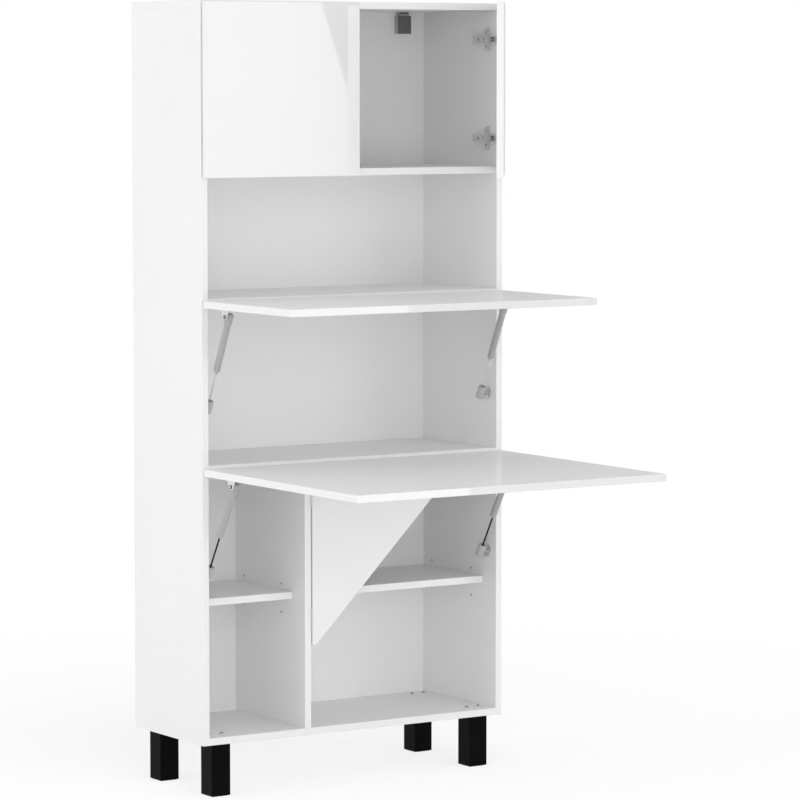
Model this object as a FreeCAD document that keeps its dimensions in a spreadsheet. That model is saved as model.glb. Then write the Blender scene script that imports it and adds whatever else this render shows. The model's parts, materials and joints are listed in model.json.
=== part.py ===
import FreeCAD, Part
import Sketcher
import os

# Tall white cabinet on four legs with two doors, a lift-up leaf and a fold-down desk leaf.
# X runs to the right, the front faces -Y, Z is up and the floor is Z = 0.
# The origin lies on the floor under the middle of the whole, measured with both leaves level.

doc = FreeCAD.newDocument("fold_down_desk")
Vector = FreeCAD.Vector
Placement = FreeCAD.Placement
Rotation = FreeCAD.Rotation

# Driving dimensions in millimetres and degrees
driving = [
    ("width", 800, "outside width of the carcass"),
    ("board", 16, "thickness of the carcass boards"),
    ("carcass_height", 1646, "height of the carcass without its legs"),
    ("side_depth", 306, "depth of the side panels"),
    ("back_thickness", 3, "thickness of the back panels"),
    ("leg_height", 120, "floor to the underside of the bottom panel"),
    ("leg_side", 48, "side of the square legs"),
    ("leg_inset_x", 54, "leg centre from the outside of the side panel"),
    ("leg_inset_front", 40, "leg centre from the front plane"),
    ("leg_inset_back", 34, "leg centre from the back of the side panel"),
    ("glide_side", 40, "side of the felt glide under a leg"),
    ("glide_thickness", 1.5, "thickness of the glide"),
    ("bolt_spacing", 32, "distance between the two bolts of a leg"),
    ("bolt_diameter", 6, "leg bolt shank"),
    ("bolt_head_diameter", 11, "leg bolt head"),
    ("bolt_head_height", 2, "leg bolt head"),
    ("bolt_grip", 26, "leg bolt length inside the leg"),
    ("cupboard_shelf_height", 1394, "floor to the top of the cupboard shelf"),
    ("upper_shelf_height", 1112, "floor to the top of the shelf behind the upper leaf"),
    ("desk_shelf_height", 744, "floor to the top of the shelf behind the desk leaf"),
    ("left_bay_width", 248.5, "clear width of the left bottom bay"),
    ("loose_shelf_height", 440, "floor to the top of the adjustable shelves"),
    ("loose_shelf_setback", 54.5, "front plane to the front of the adjustable shelves"),
    ("loose_shelf_gap", 0.5, "play at each end and behind an adjustable shelf"),
    ("pin_diameter", 5, "shelf pin"),
    ("pin_depth", 7.5, "depth of a pin hole"),
    ("pin_reach", 8, "length of a pin outside its hole"),
    ("pin_pitch", 32, "distance between the pin holes of a row"),
    ("pin_front", 103, "front plane to the front row of pin holes"),
    ("pin_back", 37, "back panel to the rear row of pin holes"),
    ("dowel_diameter", 8, "wooden dowel"),
    ("dowel_face_depth", 10, "dowel length in the face of a board"),
    ("dowel_edge_depth", 18, "dowel length in the edge of a board"),
    ("dowel_end_gap", 1, "room at the end of a dowel or of a leg bolt"),
    ("dowel_inset", 60, "dowel from the front and back edges"),
    ("fit", 0.05, "clearance round pins, dowels, bolts and cups"),
    ("edge_break", 0.6, "bevel on the edges of the boards"),
    ("front_board", 16, "thickness of the doors and leaves"),
    ("front_gap", 4.6, "gap between the carcass and a closed front"),
    ("front_reveal", 1.5, "carcass edge left bare beside a closed front"),
    ("door_top_reveal", 2, "top panel edge left bare above the doors"),
    ("door_meeting_gap", 3, "gap between the two doors"),
    ("door_hinge_inset", 80, "hinge from the top and bottom edges of a door"),
    ("door_angle", 55, "how far the right door stands open"),
    ("axis_from_edge", 9, "hinge axis from the edge of a door or of the upper leaf"),
    ("axis_from_face", 9, "hinge axis from the inner face of a door or of the upper leaf"),
    ("desk_axis_from_edge", 8.5, "hinge axis from the back edge of the desk leaf"),
    ("desk_axis_from_face", 6.5, "hinge axis from the underside of the desk leaf"),
    ("desk_overlay", 8.5, "shelf edge covered by the closed desk leaf"),
    ("leaf_clearance", 2, "closed upper leaf above the level desk leaf"),
    ("grip_overhang", 16.5, "closed desk leaf below the bottom panel"),
    ("leaf_hinge_inset", 95, "leaf hinge from the outside of the side panel"),
    ("cup_diameter", 35, "bore for a hinge cup"),
    ("cup_edge", 3, "board left between the cup bore and the edge"),
    ("cup_bore_depth", 12.5, "depth of the cup bore"),
    ("cup_floor_gap", 0.3, "space under the cup"),
    ("cup_wall", 0.9, "sheet thickness of the cup"),
    ("flange_length", 62, "cup flange along the edge of the front"),
    ("flange_width", 20, "cup flange across"),
    ("flange_thickness", 1.2, "cup flange"),
    ("flange_corner", 7, "rounding of the cup flange"),
    ("flange_screw", 4, "screw hole in the cup flange"),
    ("flange_screw_spacing", 48, "distance between the screws of the cup flange"),
    ("cup_bevel", 1, "bevel round the floor of the cup"),
    ("lug_spacing", 13, "clear width between the lugs in the cup"),
    ("lug_thickness", 2, "lugs that hold the hinge pin"),
    ("lug_width", 5.6, "lugs across the pin"),
    ("hinge_pin_diameter", 2.4, "hinge pin"),
    ("eye_diameter", 4.4, "eye at the front of the hinge arm"),
    ("arm_width", 12, "neck of the hinge arm"),
    ("arm_thickness", 2.4, "sheet of the hinge arm's neck"),
    ("arm_slope", 5, "slope at the ends of the channel of the arm"),
    ("riser_back", 0.6, "hinge axis to the back of the arm's riser"),
    ("riser_thickness", 2.6, "riser of the arm"),
    ("arm_drop", 4.1, "neck centre below the inner face of the open front"),
    ("arm_start", 20, "front plane to the channel of the arm"),
    ("arm_length", 68, "length of the channel of the arm"),
    ("arm_channel", 5.4, "height of the channel of the arm"),
    ("channel_width", 16, "width of the channel of the arm"),
    ("plate_setback", 37, "front plane to the screw line of the mounting plate"),
    ("plate_span", 54, "mounting plate across its wings"),
    ("plate_wing", 22, "width of a wing of the mounting plate"),
    ("plate_thickness", 2.5, "wing of the mounting plate"),
    ("plate_corner", 4, "rounding of the wings"),
    ("plate_screw", 4, "screw hole in a wing"),
    ("plate_screw_spacing", 32, "distance between the screws of the mounting plate"),
    ("rail_width", 14, "rail of the mounting plate"),
    ("rail_length", 42, "rail of the mounting plate"),
    ("strut_inset", 19, "strut centre from the inside of the side panel"),
    ("strut_drop", 17, "strut pin below the underside of the leaf"),
    ("upper_strut_reach", 55.5, "strut pin from the back edge of the upper leaf"),
    ("desk_strut_reach", 81.5, "strut pin from the back edge of the desk leaf"),
    ("post_setback", 35, "front plane to the strut post"),
    ("post_drop", 227, "strut post below the underside of the fixed shelf"),
    ("post_flange_diameter", 28, "round plate of the strut post"),
    ("post_flange_thickness", 2, "round plate of the strut post"),
    ("post_diameter", 8, "stud of the strut post and of the bracket"),
    ("post_gap", 0.3, "strut post to the end socket of the rod"),
    ("tube_diameter", 15, "gas strut cylinder"),
    ("tube_end", 134.5, "strut pin to the rod end of the cylinder"),
    ("tube_start", 14, "strut pin to the closed end of the cylinder"),
    ("tube_wall", 1.2, "wall of the cylinder"),
    ("gland_length", 9, "rod guide in the mouth of the cylinder"),
    ("cap_round", 4, "rounding of the end caps of a strut"),
    ("eye_outer", 17.6, "end cap of the cylinder round the bracket stud"),
    ("eye_above", 8, "end cap of the cylinder above the strut pin"),
    ("eye_below", 17, "end cap of the cylinder below the strut pin"),
    ("rod_diameter", 4, "piston rod"),
    ("piston_length", 6, "piston on the end of the rod"),
    ("piston_start", 118, "strut pin to the inner end of the piston with the leaf level"),
    ("socket_diameter", 19, "end socket of the rod"),
    ("socket_above", 18, "end socket above the middle of the strut post"),
    ("socket_below", 12.5, "end socket below the middle of the strut post"),
    ("socket_mouth", 10, "hollow mouth of the end socket round the rod"),
    ("mouth_depth", 3, "hollow mouth of the end socket"),
    ("socket_thread", 6, "rod length screwed into the end socket"),
    ("ear_thickness", 2.5, "upright plate of the strut bracket"),
    ("ear_gap", 1, "end cap of the cylinder to the upright plate"),
    ("ear_length", 34, "strut bracket along the leaf"),
    ("ear_nose", 12, "width of the bracket at the stud"),
    ("foot_width", 13, "foot of the strut bracket on the leaf"),
    ("foot_thickness", 2, "foot of the strut bracket"),
    ("support_end_gap", 3, "nose of the folded desk support to the flange of the right desk hinge"),
    ("support_height", 397, "desk support along its hinge edge"),
    ("support_nose", 18, "blunt end of the desk support under the leaf"),
    ("support_toe", 10, "blunt lower tip of the desk support"),
    ("support_gap", 0.6, "desk support below the desk leaf"),
    ("butt_gap", 4, "divider to the hinge edge of the folded support"),
    ("butt_axis_front", 1.6, "butt hinge axis in front of the front plane"),
    ("butt_height", 50, "butt hinge"),
    ("butt_leaf", 1, "sheet of the butt hinge"),
    ("butt_width", 17, "butt hinge leaf on the board"),
    ("knuckle_diameter", 4.4, "knuckle of the butt hinge"),
    ("knuckle_gap", 0.3, "play between the knuckles"),
    ("butt_pin_diameter", 2, "butt hinge pin"),
    ("butt_inset", 60, "butt hinge centre from the ends of the hinge edge"),
    ("anchor_width", 36, "wall anchor block"),
    ("anchor_height", 42, "wall anchor block"),
    ("anchor_depth", 15, "wall anchor block"),
    ("anchor_inset", 64, "wall anchor centre from the inside of the side panel"),
    ("anchor_drop", 9, "wall anchor below the top panel"),
    ("anchor_hole", 5.5, "hole for the wall screw"),
    ("anchor_lug_width", 24, "lug of the wall anchor under the top panel"),
    ("back_joint", 0.5, "gap between the two back panels"),
]
size = doc.addObject("Spreadsheet::Sheet", "size")
for row, (alias, number, meaning) in enumerate(driving, start=1):
    size.set(f"A{row}", meaning)
    size.set(f"B{row}", str(number))
    size.setAlias(f"B{row}", alias)
doc.recompute()

# Places and lengths that follow from the driving dimensions
at = doc.addObject("App::VarSet", "at")
derived = [
    ("half", "size.width / 2"),
    ("inner_x", "half - size.board"),
    ("inner_width", "inner_x * 2"),
    ("bottom_top", "size.leg_height + size.board"),
    ("top_z", "size.leg_height + size.carcass_height"),
    ("top_under", "top_z - size.board"),
    ("side_height", "top_under - bottom_top"),
    ("cupboard_under", "size.cupboard_shelf_height - size.board"),
    ("upper_under", "size.upper_shelf_height - size.board"),
    ("desk_under", "size.desk_shelf_height - size.board"),
    ("divider_left", "size.left_bay_width - inner_x"),
    ("divider_right", "divider_left + size.board"),
    ("divider_height", "desk_under - bottom_top"),
    ("loose_under", "size.loose_shelf_height - size.board"),
    ("loose_depth", "size.side_depth - size.loose_shelf_setback - size.loose_shelf_gap"),
    ("left_loose_width", "size.left_bay_width - 2 * size.loose_shelf_gap"),
    ("right_loose_width", "inner_x - divider_right - 2 * size.loose_shelf_gap"),
    ("pin_z", "loose_under - size.pin_diameter / 2"),
    ("pin_rear", "size.side_depth - size.pin_back"),
    ("back_split", "desk_under + size.board / 2"),
    ("upper_back_height", "top_z - back_split - size.back_joint"),
    ("lower_back_height", "back_split - size.leg_height"),
    ("leg_x", "half - size.leg_inset_x"),
    ("leg_rear", "size.side_depth - size.leg_inset_back"),
    ("leg_length", "size.leg_height - size.glide_thickness"),
    ("bolt_shank", "size.bolt_grip + size.board"),
    ("cup_radius", "size.cup_diameter / 2 - size.fit"),
    ("cup_depth", "size.cup_bore_depth - size.cup_floor_gap"),
    ("cup_from_edge", "size.cup_edge + size.cup_diameter / 2"),
    ("door_bottom", "cupboard_under"),
    ("door_top", "top_z - size.door_top_reveal"),
    ("door_height", "door_top - door_bottom"),
    ("door_outer_x", "half - size.front_reveal"),
    ("door_width", "door_outer_x - size.door_meeting_gap / 2"),
    ("door_axis_x", "door_outer_x - size.axis_from_edge"),
    ("door_axis_y", "-size.front_gap - size.axis_from_face"),
    ("door_axis_rise", "door_axis_x - inner_x"),
    ("door_hinge_low", "door_bottom + size.door_hinge_inset"),
    ("door_hinge_high", "door_top - size.door_hinge_inset"),
    ("upper_axis_z", "size.upper_shelf_height - size.front_reveal - size.axis_from_edge"),
    ("upper_axis_y", "door_axis_y"),
    ("upper_axis_rise", "upper_axis_z - upper_under"),
    ("upper_leaf_under", "upper_axis_z - size.axis_from_face"),
    ("upper_leaf_back", "upper_axis_y + size.axis_from_edge"),
    ("upper_closed_top", "upper_axis_z + size.axis_from_edge"),
    ("desk_axis_z", "desk_under + size.desk_overlay - size.desk_axis_from_edge"),
    ("desk_axis_y", "-size.front_gap - size.desk_axis_from_face"),
    ("desk_axis_rise", "desk_axis_z - desk_under"),
    ("desk_leaf_under", "desk_axis_z - size.desk_axis_from_face"),
    ("desk_leaf_top", "desk_leaf_under + size.front_board"),
    ("desk_leaf_back", "desk_axis_y + size.desk_axis_from_edge"),
    ("desk_closed_top", "desk_axis_z + size.desk_axis_from_edge"),
    ("upper_leaf_depth", "upper_closed_top - desk_leaf_top - size.leaf_clearance"),
    ("desk_leaf_depth", "desk_closed_top - size.leg_height + size.grip_overhang"),
    ("whole_depth", "desk_leaf_depth - desk_leaf_back + size.side_depth + size.back_thickness"),
    ("front_y", "whole_depth / 2 - size.side_depth - size.back_thickness"),
    ("leaf_width", "size.width - 2 * size.front_reveal"),
    ("leaf_hinge_x", "half - size.leaf_hinge_inset"),
    ("strut_x", "inner_x - size.strut_inset"),
    ("upper_pin_y", "upper_leaf_back - size.upper_strut_reach"),
    ("upper_pin_z", "upper_leaf_under - size.strut_drop"),
    ("upper_post_z", "upper_under - size.post_drop"),
    ("upper_strut_y", "size.post_setback - upper_pin_y"),
    ("upper_strut_z", "upper_pin_z - upper_post_z"),
    ("upper_strut_length", "sqrt(upper_strut_y ^ 2 + upper_strut_z ^ 2)"),
    ("upper_strut_tilt", "atan2(upper_strut_y; upper_strut_z) / 1 deg"),
    ("desk_pin_y", "desk_leaf_back - size.desk_strut_reach"),
    ("desk_pin_z", "desk_leaf_under - size.strut_drop"),
    ("desk_post_z", "desk_under - size.post_drop"),
    ("desk_strut_y", "size.post_setback - desk_pin_y"),
    ("desk_strut_z", "desk_pin_z - desk_post_z"),
    ("desk_strut_length", "sqrt(desk_strut_y ^ 2 + desk_strut_z ^ 2)"),
    ("desk_strut_tilt", "atan2(desk_strut_y; desk_strut_z) / 1 deg"),
    ("post_length", "size.strut_inset - size.socket_diameter / 2 - size.post_gap"),
    ("ear_inner", "size.eye_outer / 2 + size.ear_gap"),
    ("stud_start", "-size.eye_outer / 2"),
    ("stud_length", "ear_inner - stud_start + size.ear_thickness / 2"),
    ("support_axis_x", "divider_right + size.butt_gap / 2"),
    ("support_axis_y", "-size.butt_axis_front"),
    ("support_edge_x", "divider_right + size.butt_gap"),
    ("support_reach", "leaf_hinge_x - size.flange_length / 2 - size.support_end_gap - support_edge_x"),
    ("support_top", "desk_leaf_under - size.support_gap"),
    ("support_bottom", "support_top - size.support_height"),
    ("butt_low", "support_bottom + size.butt_inset"),
    ("butt_high", "support_top - size.butt_inset"),
    ("butt_middle", "size.butt_height / 3"),
    ("anchor_x", "inner_x - size.anchor_inset"),
    ("anchor_top", "top_under - size.anchor_drop"),
    ("anchor_hole_z", "anchor_top - size.anchor_height / 2"),
]
for name, formula in derived:
    at.addProperty("App::PropertyFloat", name, "Derived")
    at.setExpression(name, formula)
doc.recompute()

nodes = []

# Turns that point the axis of a round piece along each direction, and the directions as steps
turns = {
    "up": Rotation(),
    "down": Rotation(Vector(1, 0, 0), 180),
    "right": Rotation(Vector(0, 1, 0), 90),
    "left": Rotation(Vector(0, 1, 0), -90),
    "front": Rotation(Vector(1, 0, 0), 90),
}
steps = {"up": (0, 0, 1), "down": (0, 0, -1), "right": (1, 0, 0), "left": (-1, 0, 0), "front": (0, -1, 0)}
opposite = {"up": "down", "down": "up", "right": "left", "left": "right"}
halfTurn = Rotation(Vector(0, 0, 1), 180)


def bind(item, **formulas):
    # Ties the sizes and the place of one object to the sheet
    for name, formula in formulas.items():
        path = f"Placement.Base.{name}" if name in ("x", "y", "z") else name
        item.setExpression(path, formula)
    return item


def keep(item, label, y="0"):
    # Pieces are drawn from the front plane of the carcass, and stand back from the origin by front_y
    item.Label = label
    nodes.append(item)
    return bind(item, y=f"at.front_y + {y}")


def box(label, lengths, corner):
    item = doc.addObject("Part::Box", label)
    bind(item, Length=lengths[0], Width=lengths[1], Height=lengths[2])
    return bind(item, x=corner[0], y=corner[1], z=corner[2])


def cylinder(label, way, start, diameter, length):
    # A plain cylinder from a point along one of the directions
    item = doc.addObject("Part::Cylinder", label)
    item.Placement = Placement(Vector(), turns[way])
    bind(item, Radius=f"({diameter}) / 2", Height=length)
    return bind(item, x=start[0], y=start[1], z=start[2])


def along(point, way, distance):
    # The point moved along one of the directions
    moved = []
    for value, step in zip(point, steps[way]):
        moved.append(f"{value} + {step} * ({distance})" if step else value)
    return tuple(moved)


def group(label, items):
    item = doc.addObject("Part::Compound", label)
    item.Links = items
    return item


def fused(label, items):
    item = doc.addObject("Part::MultiFuse", label)
    item.Shapes = items
    return item


def cut(label, base, tools):
    item = doc.addObject("Part::Cut", label)
    item.Base = base
    item.Tool = tools[0] if len(tools) == 1 else group(label + "_tools", tools)
    return item


def placed(label, source, turn, x, y, z):
    # One copy of a piece, turned and moved to its place
    item = group(label, [source])
    item.Placement = Placement(Vector(), turn)
    return bind(item, x=x, y=y, z=z)


def copies(label, source, places):
    # Copies of one piece at several places, as one object
    items = []
    for index, place in enumerate(places, start=1):
        items.append(placed(f"{label}_{index}", source, *place))
    return group(label, items)


def mirrored(label, source):
    # The same piece on the other side of the plane X = 0
    item = doc.addObject("Part::Mirroring", label)
    item.Source = source
    item.Normal = Vector(1, 0, 0)
    return item


def board(label, lengths, corner):
    # A flat board with bevelled edges, from its three lengths and its lowest corner
    bevel = doc.addObject("Part::Chamfer", label + "_board")
    bevel.Base = box(label + "_blank", lengths, corner)
    bevel.Edges = [(edge, size.edge_break, size.edge_break) for edge in range(1, 13)]
    return bevel


def roundedPlate(label, lengths, corner, radius):
    # A thin plate whose four upright edges are rounded
    plate = doc.addObject("Part::Fillet", label)
    plate.Base = box(label + "_blank", lengths, corner)
    plate.Edges = [(edge, radius, radius) for edge in (1, 3, 5, 7)]
    return plate


def sketch(body, plane, name):
    drawing = body.newObject("Sketcher::SketchObject", name)
    support = [item for item in body.Origin.OriginFeatures if item.Role == plane]
    drawing.AttachmentSupport = [(support[0], "")]
    drawing.MapMode = "FlatFace"
    return drawing


def outline(body, plane, points):
    # A closed outline whose corners are tied to the sheet
    drawing = sketch(body, plane, body.Name + "_outline")
    count = len(points)
    for corner in range(count):
        start = Vector(corner, corner * corner, 0)
        end = Vector(corner + 1, (corner + 1) ** 2, 0) if corner < count - 1 else Vector(0, 0, 0)
        drawing.addGeometry(Part.LineSegment(start, end), False)
    for corner in range(count):
        following = (corner + 1) % count
        drawing.addConstraint(Sketcher.Constraint("Coincident", corner, 2, following, 1))
    for corner, (across, upward) in enumerate(points):
        for kind, formula in (("DistanceX", across), ("DistanceY", upward)):
            index = drawing.addConstraint(Sketcher.Constraint(kind, -1, 1, corner, 1, float(corner + 1)))
            drawing.setExpression(f"Constraints[{index}]", formula)
    return drawing


def circle(body, plane, name, radius):
    drawing = sketch(body, plane, name)
    drawing.addGeometry(Part.Circle(Vector(0, 0, 0), Vector(0, 0, 1), 1), False)
    drawing.addConstraint(Sketcher.Constraint("Coincident", 0, 3, -1, 1))
    index = drawing.addConstraint(Sketcher.Constraint("Radius", 0, 1.0))
    drawing.setExpression(f"Constraints[{index}]", radius)
    return drawing


def pad(body, drawing, length, side="One side", back=False):
    feature = body.newObject("PartDesign::Pad", drawing.Name + "_pad")
    feature.Profile = drawing
    feature.SideType = side
    feature.Reversed = back
    feature.setExpression("Length", length)
    return feature


def turned(label, points):
    # A round piece: its half outline, radius and height, turned about the Z axis
    body = doc.addObject("PartDesign::Body", label)
    drawing = outline(body, "XZ_Plane", points)
    feature = body.newObject("PartDesign::Revolution", label + "_turn")
    feature.Profile = drawing
    feature.ReferenceAxis = (drawing, ["V_Axis"])
    feature.Angle = 360
    return body


# Holes, gathered by the board that they are drilled in
holes = {}
dowels = []


def hole(label, way, mouth, diameter, depth):
    drills = holes.setdefault(label, [])
    drills.append(cylinder(f"{label}_drill", way, mouth, diameter, depth))


def dowel(faceBoard, edgeBoard, point, way):
    # A dowel joins the edge of one board to the face of another; the way is into the face
    bore = "size.dowel_diameter + 2 * size.fit"
    hole(faceBoard, way, point, bore, "size.dowel_face_depth + size.dowel_end_gap")
    hole(edgeBoard, opposite[way], point, bore, "size.dowel_edge_depth + size.dowel_end_gap")
    start = along(point, opposite[way], "size.dowel_edge_depth")
    length = "size.dowel_edge_depth + size.dowel_face_depth"
    dowels.append(cylinder("dowel", way, start, "size.dowel_diameter", length))


# Boards of the carcass
carcass = {}
lying = ("size.width", "size.side_depth", "size.board")
upright = ("size.board", "size.side_depth", "at.side_height")
carcass["top_panel"] = board("top_panel", lying, ("-at.half", "0", "at.top_under"))
carcass["bottom_panel"] = board("bottom_panel", lying, ("-at.half", "0", "size.leg_height"))
carcass["left_side_panel"] = board("left_side_panel", upright, ("-at.half", "0", "at.bottom_top"))
carcass["right_side_panel"] = board("right_side_panel", upright, ("at.inner_x", "0", "at.bottom_top"))
fixedShelves = {
    "cupboard_shelf": "at.cupboard_under",
    "upper_fixed_shelf": "at.upper_under",
    "desk_fixed_shelf": "at.desk_under",
}
for label, underside in fixedShelves.items():
    carcass[label] = board(
        label, ("at.inner_width", "size.side_depth", "size.board"), ("-at.inner_x", "0", underside))
dividing = ("size.board", "size.side_depth", "at.divider_height")
carcass["divider"] = board("divider", dividing, ("at.divider_left", "0", "at.bottom_top"))

# Dowels in every joint of the carcass
sides = (("left", "-"), ("right", ""))
for y in ("size.dowel_inset", "size.side_depth - size.dowel_inset"):
    for side, sign in sides:
        panel = f"{side}_side_panel"
        panelMiddle = f"{sign}(at.inner_x + size.board / 2)"
        dowel("top_panel", panel, (panelMiddle, y, "at.top_under"), "up")
        dowel("bottom_panel", panel, (panelMiddle, y, "at.bottom_top"), "down")
        for shelf, underside in fixedShelves.items():
            dowel(panel, shelf, (f"{sign}at.inner_x", y, f"{underside} + size.board / 2"), side)
    dowel("bottom_panel", "divider", ("at.divider_left + size.board / 2", y, "at.bottom_top"), "down")
    dowel("desk_fixed_shelf", "divider", ("at.divider_left + size.board / 2", y, "at.desk_under"), "up")
keep(group("carcass_dowels", dowels), "carcass_dowels")

# Rows of pin holes, and the pins that carry the adjustable shelves
pins = []
pinWalls = (
    ("left_side_panel", "-at.inner_x", "left"),
    ("divider", "at.divider_left", "right"),
    ("divider", "at.divider_right", "left"),
    ("right_side_panel", "at.inner_x", "right"),
)
for label, x, way in pinWalls:
    for y in ("size.pin_front", "at.pin_rear"):
        for step in (-1, 0, 1):
            mouth = (x, y, f"at.pin_z + {step} * size.pin_pitch")
            hole(label, way, mouth, "size.pin_diameter + 2 * size.fit", "size.pin_depth")
        start = along((x, y, "at.pin_z"), way, "size.pin_depth - size.fit")
        length = "size.pin_depth + size.pin_reach"
        pins.append(cylinder("pin", opposite[way], start, "size.pin_diameter", length))
keep(group("shelf_pins", pins), "shelf_pins")

# Legs with their glides and bolts
legPlaces = {
    "front_left_leg": ("-at.leg_x", "size.leg_inset_front"),
    "front_right_leg": ("at.leg_x", "size.leg_inset_front"),
    "back_left_leg": ("-at.leg_x", "at.leg_rear"),
    "back_right_leg": ("at.leg_x", "at.leg_rear"),
}
bolt = turned("leg_bolt", [
    ("0", "0"),
    ("size.bolt_diameter / 2", "0"),
    ("size.bolt_diameter / 2", "at.bolt_shank"),
    ("size.bolt_head_diameter / 2", "at.bolt_shank"),
    ("size.bolt_head_diameter / 2 - size.bolt_head_height / 2", "at.bolt_shank + size.bolt_head_height"),
    ("0", "at.bolt_shank + size.bolt_head_height"),
])
boltPlaces = []
glides = []
for label, (x, y) in legPlaces.items():
    leg = board(label, ("size.leg_side", "size.leg_side", "at.leg_length"),
                (f"{x} - size.leg_side / 2", f"{y} - size.leg_side / 2", "size.glide_thickness"))
    for sign in ("-", "+"):
        boltX = f"{x} {sign} size.bolt_spacing / 2"
        seat = (boltX, y, "size.leg_height")
        hole(label, "down", seat, "size.bolt_diameter + 2 * size.fit", "size.bolt_grip + size.dowel_end_gap")
        hole("bottom_panel", "up", seat, "size.bolt_diameter + 2 * size.fit", "size.board")
        boltPlaces.append((Rotation(), boltX, y, "size.leg_height - size.bolt_grip"))
    keep(cut(label, leg, holes[label]), label)
    glides.append(box(f"{label}_glide", ("size.glide_side", "size.glide_side", "size.glide_thickness"),
                      (f"{x} - size.glide_side / 2", f"{y} - size.glide_side / 2", "0")))
keep(group("leg_glides", glides), "leg_glides")
keep(copies("leg_bolts", bolt, boltPlaces), "leg_bolts")

for label, base in carcass.items():
    keep(cut(label, base, holes[label]), label)

# Adjustable shelves
looseShelves = (
    ("left_adjustable_shelf", "at.left_loose_width", "size.loose_shelf_gap - at.inner_x"),
    ("right_adjustable_shelf", "at.right_loose_width", "at.divider_right + size.loose_shelf_gap"),
)
for label, width, x in looseShelves:
    corner = (x, "size.loose_shelf_setback", "at.loose_under")
    keep(board(label, (width, "at.loose_depth", "size.board"), corner), label)

# Back panels; the upper one has holes for the wall screws
lowerBack = box("lower_back_panel", ("size.width", "size.back_thickness", "at.lower_back_height"),
                ("-at.half", "0", "size.leg_height"))
keep(lowerBack, "lower_back_panel", "size.side_depth")
upperBack = box("upper_back_blank", ("size.width", "size.back_thickness", "at.upper_back_height"),
                ("-at.half", "size.side_depth", "at.back_split + size.back_joint"))
wallDrills = []
for side, sign in sides:
    mouth = (f"{sign}at.anchor_x", "size.side_depth + size.back_thickness", "at.anchor_hole_z")
    wallDrills.append(cylinder(f"{side}_wall_drill", "front", mouth, "size.anchor_hole",
                               "size.back_thickness + size.anchor_depth"))
keep(cut("upper_back_panel", upperBack, wallDrills), "upper_back_panel")

# Wall anchors: a block against the back panel with a lug under the top panel
anchor = doc.addObject("PartDesign::Body", "wall_anchor")
anchorOutline = outline(anchor, "XZ_Plane", [
    ("at.anchor_x - size.anchor_width / 2", "at.anchor_top - size.anchor_height"),
    ("at.anchor_x + size.anchor_width / 2", "at.anchor_top - size.anchor_height"),
    ("at.anchor_x + size.anchor_width / 2", "at.anchor_top"),
    ("at.anchor_x + size.anchor_lug_width / 2", "at.anchor_top"),
    ("at.anchor_x + size.anchor_lug_width / 2", "at.top_under"),
    ("at.anchor_x - size.anchor_lug_width / 2", "at.top_under"),
    ("at.anchor_x - size.anchor_lug_width / 2", "at.anchor_top"),
    ("at.anchor_x - size.anchor_width / 2", "at.anchor_top"),
])
pad(anchor, anchorOutline, "size.anchor_depth")
bind(anchor, y="size.side_depth")
anchors = group("wall_anchor_pair", [anchor, mirrored("wall_anchor_left", anchor)])
keep(cut("wall_anchors", anchors, wallDrills), "wall_anchors")


# Concealed hinges, drawn with the pin on the X axis and the front level, its inner face down
def hingeCup(label, fromEdge, fromFace):
    # A drawn cup with a rim bevel and a hollow, a screwed flange and two lugs for the pin
    middle = f"{fromEdge} - at.cup_from_edge"
    shell = turned(label + "_shell", [
        ("0", f"at.cup_depth - {fromFace}"),
        ("at.cup_radius - size.cup_bevel", f"at.cup_depth - {fromFace}"),
        ("at.cup_radius", f"at.cup_depth - {fromFace} - size.cup_bevel"),
        ("at.cup_radius", f"-{fromFace}"),
        ("0", f"-{fromFace}"),
    ])
    bind(shell, y=middle)
    underside = f"-{fromFace} - size.flange_thickness"
    flange = roundedPlate(
        label + "_flange", ("size.flange_length", "size.flange_width", "size.flange_thickness"),
        ("-size.flange_length / 2", f"{middle} - size.flange_width / 2", underside), size.flange_corner)
    hollow = cylinder(label + "_hollow", "up", ("0", middle, underside),
                      "2 * (at.cup_radius - size.cup_wall)",
                      "at.cup_depth + size.flange_thickness - size.cup_wall")
    tools = [hollow]
    for sign in ("-", ""):
        screw = (f"{sign}size.flange_screw_spacing / 2", middle, underside)
        tools.append(cylinder(label + "_screw", "up", screw, "size.flange_screw", "size.flange_thickness"))
    cup = cut(label + "_cup", fused(label + "_outer", [shell, flange]), tools)
    lugs = []
    for x in ("-size.lug_spacing / 2 - size.lug_thickness", "size.lug_spacing / 2"):
        lugHeight = f"at.cup_depth - {fromFace} + size.lug_width / 2 - size.cup_wall / 2"
        lugs.append(box(label + "_lug", ("size.lug_thickness", "size.lug_width", lugHeight),
                        (x, "-size.lug_width / 2", "-size.lug_width / 2")))
    bore = cylinder(label + "_bore", "right", ("-size.lug_spacing / 2 - size.lug_thickness", "0", "0"),
                    "size.hinge_pin_diameter + 2 * size.fit", "size.lug_spacing + 2 * size.lug_thickness")
    return cut(label, fused(label + "_whole", [cup] + lugs), [bore])


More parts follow.
